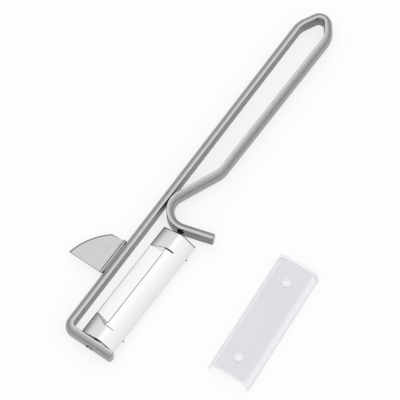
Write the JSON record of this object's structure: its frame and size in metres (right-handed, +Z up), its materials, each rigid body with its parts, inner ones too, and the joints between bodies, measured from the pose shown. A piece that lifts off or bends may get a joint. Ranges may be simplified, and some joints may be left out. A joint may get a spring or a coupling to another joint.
{
  "type": "swivel vegetable peeler",
  "caption": "Swivel vegetable peeler: a bent half-round aluminium bar with hanging loop and finger hook, a pivoting lanced steel blade, a side eye remover and a loose clear blade guard.",
  "frame": {"origin": "below the middle of the whole set's box, on the surface that it lies on", "axes": "+Y along the long leg from the foot to the hanging loop, +X from the long leg to the blade and on to the guard, +Z up from the surface"},
  "size_m": [0.0978, 0.19, 0.0077],
  "materials": {
    "bar_aluminium": "satin",
    "eye_steel": "fine ground stainless",
    "blade_steel": "polished stainless",
    "pin_steel": "turned stainless",
    "guard_plastic": "clear moulded"
  },
  "bodies": {
    "frame": {"handle_frame": "bar_aluminium", "eye_remover": "eye_steel"},
    "blade": {"peeling_blade": "blade_steel", "lower_pivot_pin": "pin_steel", "upper_pivot_pin": "pin_steel"},
    "guard": {"blade_guard": "guard_plastic"}
  },
  "joints": [
    {"name": "blade_swivel", "type": "hinge", "parent": "frame", "child": "blade", "pos_m": [-0.01582, -0.06085, 0.00375], "axis": [0.0161, 0.9999, 0], "continuous": true},
    {"name": "guard_lift", "type": "slide", "parent": "frame", "child": "guard", "axis": [0, 0, 1], "range_m": [0, 0.06]}
  ]
}
